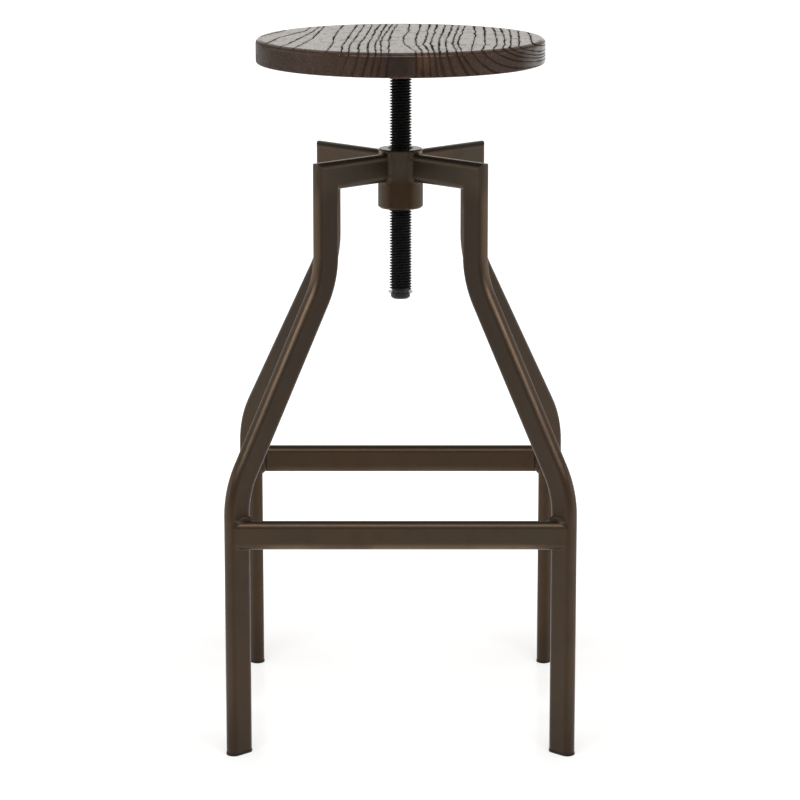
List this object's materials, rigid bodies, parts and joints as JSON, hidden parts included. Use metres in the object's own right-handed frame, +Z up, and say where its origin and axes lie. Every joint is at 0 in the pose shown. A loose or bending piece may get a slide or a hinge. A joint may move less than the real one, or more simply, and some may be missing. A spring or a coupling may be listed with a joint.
{
  "type": "bar stool",
  "caption": "Industrial bar stool: a round wooden seat on a screw spindle that turns to rise and fall in a welded frame of bent flat-sided tube with foot rails.",
  "frame": {"origin": "on the floor, below the middle of the seat", "axes": "+Z up along the spindle, -Y to the front rail that faces the viewer, +X to the viewer's right"},
  "size_m": [0.3872, 0.3872, 0.777],
  "materials": {
    "seat_wood": "dark brown stain, brushed grain, satin lacquer",
    "frame_paint": "dark bronze paint over steel, faintly mottled, satin",
    "screw_black": "black, oiled, semi-gloss",
    "bright_steel": "bright spring steel",
    "cap_plastic": "black, moulded, matt"
  },
  "bodies": {
    "frame": {"hub": "frame_paint", "arm_front_left": "frame_paint", "arm_front_right": "frame_paint", "arm_rear_left": "frame_paint", "arm_rear_right": "frame_paint", "leg_front_left": "frame_paint", "leg_front_right": "frame_paint", "leg_rear_left": "frame_paint", "leg_rear_right": "frame_paint", "rail_front": "frame_paint", "rail_rear": "frame_paint", "foot_front_left": "cap_plastic", "foot_front_right": "cap_plastic", "foot_rear_left": "cap_plastic", "foot_rear_right": "cap_plastic"},
    "lift_stop": {"stop_clip": "bright_steel"},
    "turning_seat": {"seat": "seat_wood", "seat_flange": "screw_black", "seat_screws": "bright_steel", "spindle": "screw_black"}
  },
  "joints": [
    {"name": "seat_lift", "type": "slide", "parent": "frame", "child": "lift_stop", "axis": [0, 0, 1], "range_m": [-0.0913, 0.0953]},
    {"name": "seat_turn", "type": "hinge", "parent": "lift_stop", "child": "turning_seat", "pos_m": [0, 0, 0.653], "axis": [0, 0, 1], "range_deg": [-10350, 10800]}
  ],
  "couplings": [
    {"joint": "seat_lift", "follows": "seat_turn", "m_per_rad": 0.00050532}
  ]
}
